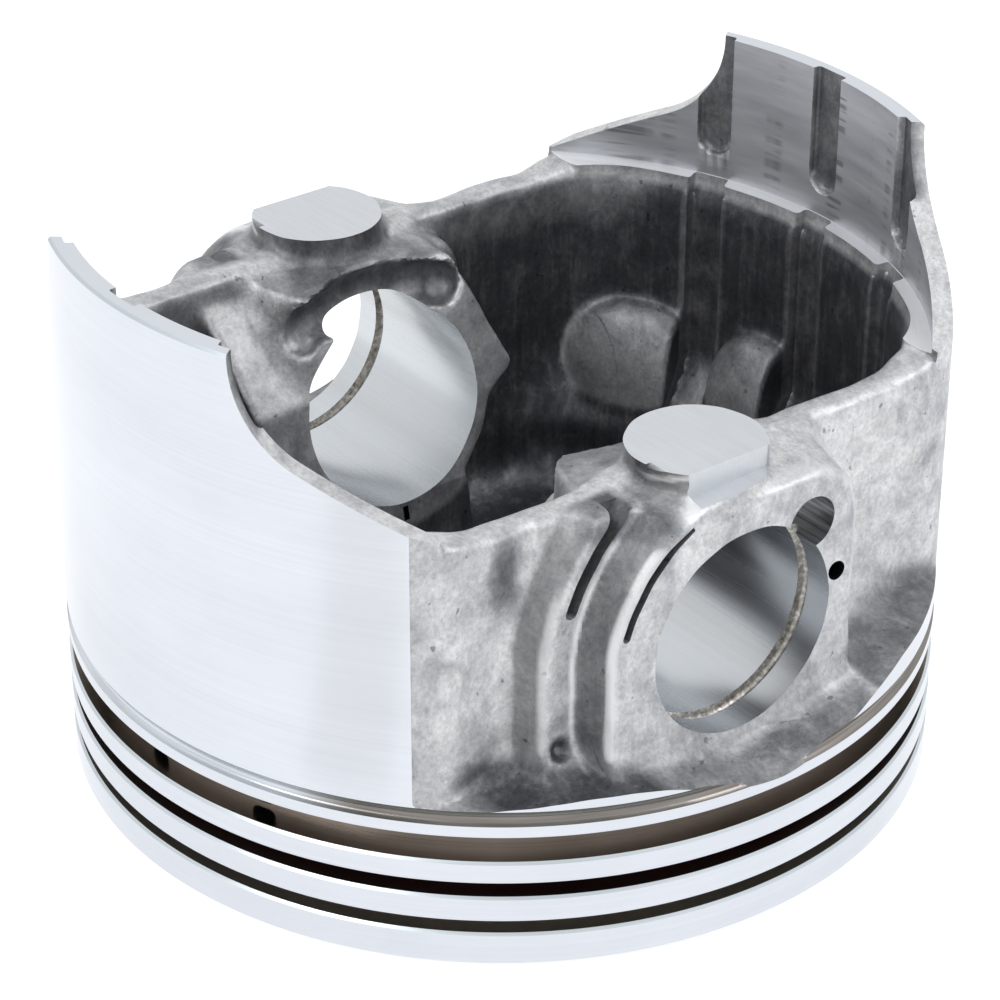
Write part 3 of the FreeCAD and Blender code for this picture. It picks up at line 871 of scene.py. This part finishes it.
for side in (-1, 1):
    carve(piston, prism("notch", circle(beside_pin(*NOTCH_AT), NOTCH_R),
                        (side * CLIP_IN, side * FAR), [NOTCH]))
    carve(piston, prism("oil_hole", circle(beside_pin(*OIL_HOLE_AT), OIL_HOLE_R, 48),
                        (side * (CLIP_IN + CLIP_W + 0.4), side * FAR), [HOLE_SHADE]))
    carve(piston, prism("pad_flat", [(PIN_Y - 5.5, PAD_FOOT + 0.2), (PIN_Y + 5.2, PAD_FOOT + 0.6),
                                     (PIN_Y + 6.4, HIGH), (PIN_Y - 6.4, HIGH)],
                        (side * PAD_FLAT_X, side * FAR), [PAD_FACE]))
    carve(piston, prism("pad_top", [(PIN_Y - 12, PAD_TOP), (PIN_Y + 12, PAD_TOP),
                                    (PIN_Y + 12, HIGH), (PIN_Y - 12, HIGH)],
                        [side * x for x in PAD_FACED_X], [PAD_FACE]))
    carve(piston, crevice("slit", *SLIT, side))
    carve(piston, crevice("side_groove", *SIDE_GROOVE, side))
    slot_low, slot_high = zip(sorted(side * x for x in OIL_SLOT_X), OIL_SLOT_Y, OIL_SLOT_Z)
    carve(piston, block("oil_slot", slot_low, slot_high, [HOLE_SHADE]))
print("machined", len(piston.data.polygons), "faces")


# ------------------------------------------------------------ piece regions
def bounds_box(name, x_ends, y_ends, z_ends):
    low, high = zip(sorted(x_ends), sorted(y_ends), sorted(z_ends))
    return block(name, low, high, [CAST])


def belt_region(name, profile, closed=False):
    return turned(name, [(r, z, 0) for r, z in profile], [CAST], closed=closed)


FIRST_GAP = ((ROOT_R, TOP_LAND_TOP), (ROOT_R + 0.3, (TOP_LAND_TOP + SECOND_LAND[0]) / 2),
             (ROOT_R, SECOND_LAND[0]))
SECOND_GAP = ((ROOT_R, SECOND_LAND[1]), (ROOT_R + 0.3, (SECOND_LAND[1] + THIRD_LAND[0]) / 2),
              (ROOT_R, THIRD_LAND[0]))
OIL_GAP = ((OIL_ROOT_R, THIRD_LAND[1]), (OIL_ROOT_R + 0.3, (THIRD_LAND[1] + OIL_LAND_LOW) / 2),
           (OIL_ROOT_R, OIL_LAND_LOW))
BOSS_FRONT = PIN_Y - 17.9
BOSS_BACK = PIN_Y + 16.4
RIB_FRONT = PIN_Y - 25.2
UP = (SKIRT_LOW, HIGH)


def regions():
    """Closed volumes, one per piece, which fill the casting without overlap."""
    middle = [(FAR, gap[1][1]) for gap in (FIRST_GAP, SECOND_GAP, OIL_GAP)]
    yield "top_land", belt_region("top_land", [(0, -5), (FAR, -5), middle[0], FIRST_GAP[1],
                                               FIRST_GAP[0], (0, TOP_LAND_TOP)])
    yield "first_groove_floor", belt_region("floor", [(0, TOP_LAND_TOP), *FIRST_GAP,
                                                      (0, SECOND_LAND[0])])
    yield "second_land", belt_region("second", [(0, SECOND_LAND[0]), FIRST_GAP[2], FIRST_GAP[1],
                                                middle[0], middle[1], SECOND_GAP[1],
                                                SECOND_GAP[0], (0, SECOND_LAND[1])])
    yield "belt_core", belt_region("core", [(0, SECOND_LAND[1]), *SECOND_GAP,
                                            (ROOT_R, THIRD_LAND[1]), *OIL_GAP,
                                            (OIL_ROOT_R, SKIRT_LOW), (0, SKIRT_LOW)])
    yield "third_land", belt_region("third", [SECOND_GAP[2], SECOND_GAP[1], middle[1], middle[2],
                                              OIL_GAP[1], OIL_GAP[0], (ROOT_R, THIRD_LAND[1])],
                                    True)
    yield "oil_land", belt_region("oil", [OIL_GAP[2], OIL_GAP[1], middle[2], (FAR, SKIRT_LOW),
                                          (OIL_ROOT_R, SKIRT_LOW)], True)
    for word, side in (("thrust", -1), ("minor", 1)):
        y_ends = (side * SKIRT_CUT_Y, side * FAR)
        yield word + "_skirt", bounds_box(word, (-FAR, FAR), y_ends, (SKIRT_LOW, LEDGE_Z))
        yield word + "_tail", bounds_box(word, (-FAR, FAR), y_ends, (LEDGE_Z, HIGH))
    for word, side in (("right", 1), ("left", -1)):
        half = (0, side * FAR)
        boss_y = (BOSS_FRONT, BOSS_BACK)
        yield "boss_" + word, bounds_box(word, half, boss_y, (SKIRT_LOW, PAD_FOOT))
        yield "pad_" + word, bounds_box(word, half, boss_y, (PAD_FOOT, HIGH))
        yield "wall_%s_rear" % word, bounds_box(word, half, (BOSS_BACK, SKIRT_CUT_Y), UP)
        front = bounds_box(word, half, (-SKIRT_CUT_Y, BOSS_FRONT), UP)
        rib_x = (side * WALL_OUT, side * FAR)
        carve(front, bounds_box(word, rib_x, (RIB_FRONT, BOSS_FRONT + 1), UP))
        yield "wall_%s_front" % word, front
        yield "rib_%s_front" % word, bounds_box(word, rib_x, (RIB_FRONT, BOSS_FRONT), UP)


def paint_oxide_and_light(x, y, z):
    """Oxide and painted light of the cast skin: nought deep inside, one outside, more for painted
    highlights on edges.
    """
    ax, ay, r = np.abs(x), np.abs(y), np.hypot(x, y)
    dy, dz = y - PIN_Y, z - PIN_Z
    q = arch(dy, dz)
    from_pin = np.hypot(dy, dz)

    # Inside: dark oxide and painted shade, with painted light on the boss faces, the hoods and the
    # rim, painted shade in the flutes and painted highlights on their edges.
    inside = ease(48.0, 47.0, r) * ease(33.2, 31.4, ax) * ease(48.7, 47.5, z)
    lean = boss_face(dy, z)
    face = ease(1.3, 0.5, np.abs(ax - lean)) * ease(19.2, 18.0, np.abs(dy)) * (z > 21)
    collar = ease(15.2, 14.2, from_pin) * ease(3.4, 2.0, np.abs(ax - lean))
    arched = ease(18.0, 17.0, from_pin) * (dz > 0) * (ax < 29)
    face = face * (1 - 0.42 * ease(-7, -13, dy))
    lit = np.maximum(np.maximum(0.9 * face, 0.46 * collar), 0.24 * arched)
    lit = lit + 0.42 * ease(41, 46, z) * ease(20, 26, ax) * (1 - arched)
    for gap in hoods(x, y, z):
        proud = ease(0.42, 0.12, np.abs(gap)) * ease(0.3, 1.2, inner_radius(z) - r)
        lit = np.maximum(lit, proud * (0.26 + 0.8 * band(z, 21.5, 27.0, 4.5)) * ease(16, 20, z))
    fluted = flute_along(x, ay)
    lit = np.where((fluted < FLUTE_W / 2 - 0.35) & (r > inner_radius(z) - 0.4), 0.10, lit)
    edge = ease(0.7, 0.25, np.abs(fluted - FLUTE_W / 2 - 0.2)) * (r > inner_radius(z) - 0.5)
    lit = np.maximum(lit, 0.30 * edge)
    oxide_and_painted_light = 1.0 - inside * (1.0 - lit)

    # Outside: shade beside the rib, in the slit, under the panels.
    outside = ease(32.8, 34.0, ax)
    front = ease(1.0, -1.0, dy) * outside
    shade = 0.34 * band(q, 17.7, 18.5, 0.4) * front
    angle = np.degrees(np.arctan2(-dy, dz))
    slot = band(q, 19.7, 21.1, 0.1) * ease(37.4, 36.6, ax) * band(angle, 22, 73, 2)
    shade = np.maximum(shade, 0.97 * slot * front)
    groove_b = band(q, 15.9, 16.8, 0.1) * ease(41.4, 40.6, ax) * band(angle, 24, 75, 2)
    shade = np.maximum(shade, 0.85 * groove_b * front)
    flank = band(y, -26.2, -25.2, 2.4) * band(z, 42.5, 45.0, 6.0)
    shade = np.maximum(shade, 0.85 * flank * front)
    neck = np.hypot((y + 13.5) / 5.0, (z - 47.4) / 2.2)
    shade = np.maximum(shade, 0.75 * ease(1.2, 0.6, neck) * outside)
    foot = (ease(23.4, 21.0, z + 0.06 * (dy + 20)) * outside * ease(-32.5, -27.0, dy)
            * ease(-10, -16, dy))
    shade = np.maximum(shade, 1.12 * foot)
    under = ease(23.0, 19.5, z) * outside * ease(42.0, 44.0, r) * ease(-16, -10, dy)
    shade = np.maximum(shade, (0.38 + 0.34 * ease(-6, 6, dy)) * under)
    behind = ease(25.6, 22.6, z) * outside * ease(14.5, 16.5, dy)
    shade = np.maximum(shade, 0.72 * behind * ease(49.5, 49.2, r))
    for px, py, pz, size in PITS:
        pit = np.sqrt((ax - px) ** 2 + (y - py) ** 2 + (z - pz) ** 2)
        shade = np.maximum(shade, 0.9 * ease(size + 1.2, size + 0.3, pit))
    fluted = ease(TAIL_IN_R + 0.1, TAIL_IN_R + 0.4, r) * ease(48.7, 48.2, r) * (z > LEDGE_Z + 0.8)
    shade = np.maximum(shade, 0.75 * fluted * (ax < 22))
    post = ease(8.8, 7.9, np.hypot(ax - PAD_X, dy)) * ease(44.5, 46.5, z) * ease(36.0, 34.0, ax)
    shade = np.maximum(shade, np.where(x < 0, 0.8, 0.3) * post)
    # Painted highlights along the boss's front edge, both edges of the rib and the boss's back
    # edge.
    painted_highlight = (band(q, 17.1, 17.3, 0.55) + 0.8 * band(q, 19.1, 19.2, 0.5)) * front * ease(20, 23, z)
    painted_highlight = painted_highlight + 0.55 * band(q, 22.5, 22.7, 0.5) * front * band(z, 24, 40, 3)
    painted_highlight = painted_highlight + 0.5 * band(back_edge(dy, dz), -0.3, 0.0, 0.5) * outside * band(dy, 3, 16, 1)
    return oxide_and_painted_light * (1.0 - shade) + 0.5 * painted_highlight


def finish_piece(obj):
    """Gives a piece its attribute of oxide and painted light and shade, smooth faces and sharp
    edges.
    """
    mesh = obj.data
    co = np.empty(len(mesh.vertices) * 3, np.float32)
    mesh.vertices.foreach_get("co", co)
    x, y, z = (co.reshape(-1, 3) / MM).T
    oxide_and_painted_light = mesh.attributes.new("oxide_and_painted_light", "FLOAT", "POINT")
    oxide_and_painted_light.data.foreach_set("value", paint_oxide_and_light(x, y, z).astype(np.float32))
    mesh.polygons.foreach_set("use_smooth", [True] * len(mesh.polygons))
    mesh.set_sharp_from_angle(angle=math.radians(35))


for node, region in regions():
    outward(region)
    mesh = boolean_mesh(piston, region, "INTERSECT")
    discard(region)
    piece = bpy.data.objects.new(node + "_casting", mesh)
    mesh.name = node + "_casting"
    bpy.context.scene.collection.objects.link(piece)
    finish_piece(piece)
    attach(piece, "root")
    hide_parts(node)
    print(node, len(mesh.polygons), "faces")
discard(piston)

# -------------------------------------------------------------------- stage
FLOOR = Finish("floor", 0.9, 0.0)
FLOOR.shader.inputs["Base Color"].default_value = (0.4, 0.4, 0.4, 1)
FLOOR.shader.inputs["Emission Color"].default_value = (0.98, 0.99, 1, 1)
FLOOR.shader.inputs["Emission Strength"].default_value = 0.74
FLOOR_HALF, FLOOR_DROP = 3000, 0.05
floor_corners = [(sx * FLOOR_HALF, sy * FLOOR_HALF, 0)
                 for sx, sy in ((-1, -1), (1, -1), (1, 1), (-1, 1))]
floor = mesh_object("floor", floor_corners, [(0, 1, 2, 3)], [FLOOR.material])
floor.location.z = -FLOOR_DROP * MM

scene = bpy.context.scene
world = bpy.data.worlds.new("studio")
scene.world = world
world.use_nodes = True
world.node_tree.nodes["Background"].inputs["Color"].default_value = (0.98, 0.99, 1, 1)
world.node_tree.nodes["Background"].inputs["Strength"].default_value = 1.0
scene.view_settings.view_transform = "Standard"


def area_light(name, place, size, power):
    data = bpy.data.lights.new(name, "AREA")
    data.shape = "RECTANGLE"
    data.size, data.size_y = size
    data.energy = power
    light = bpy.data.objects.new(name, data)
    light.location = place
    aim = Vector((0, 0, 0.03))
    light.rotation_euler = (aim - Vector(place)).to_track_quat("-Z", "Y").to_euler()
    scene.collection.objects.link(light)


area_light("key", (0.25, 0.25, 0.6), (0.25, 0.25), 0.8)
area_light("fill", (0.02, -0.42, 0.42), (0.25, 0.2), 0.55)

# ------------------------------------------------------------------- camera
VIEW_AZ, VIEW_EL, VIEW_ROLL = 52.59, 29.96, 0.13
DISTANCE = 0.3866
AIM_RIGHT, AIM_UP = -0.00007, 0.02781
SENSOR, LENS = 36, 123.6
azimuth, elevation, roll = (math.radians(v) for v in (VIEW_AZ, VIEW_EL, VIEW_ROLL))
back = Vector((math.sin(azimuth) * math.cos(elevation),
               -math.cos(azimuth) * math.cos(elevation), math.sin(elevation)))
right = Vector((math.cos(azimuth), math.sin(azimuth), 0))
target = right * AIM_RIGHT + Vector((0, 0, AIM_UP))
camera_data = bpy.data.cameras.new("camera")
camera_data.sensor_width = SENSOR
camera_data.lens = LENS
camera_data.clip_start = 0.01
camera = bpy.data.objects.new("camera", camera_data)
camera.location = target + back * DISTANCE
camera.rotation_euler = back.to_track_quat("Z", "Y").to_euler()
camera.rotation_euler.rotate_axis("Z", roll)
scene.collection.objects.link(camera)
scene.camera = camera

# A grey card low in front: the skirt and the lands mirror it as a soft upright band.
CARD_TURN, CARD_NEAR, CARD_FAR, CARD_WIDE = -27.0, 0.078, 0.2, 0.022
toward = Vector((math.sin(azimuth), -math.cos(azimuth), 0))
card_turn = math.radians(CARD_TURN)
card_out = toward * math.cos(card_turn) + right * math.sin(card_turn)
card_side = Vector((-card_out.y, card_out.x, 0))
CARD_LIFT = Vector((0, 0, 0.001))
ends = ((CARD_NEAR, -0.5), (CARD_FAR, -0.5), (CARD_FAR, 0.5), (CARD_NEAR, 0.5))
corners = [card_out * reach + card_side * (CARD_WIDE * sign * reach / CARD_NEAR) + CARD_LIFT
           for reach, sign in ends]
CARD = Finish("card", 0.9, 0.0)
CARD.shader.inputs["Base Color"].default_value = (0.90, 0.89, 0.88, 1)
mesh_object("card", [tuple(c / MM) for c in corners], [(0, 1, 2, 3)], [CARD.material])
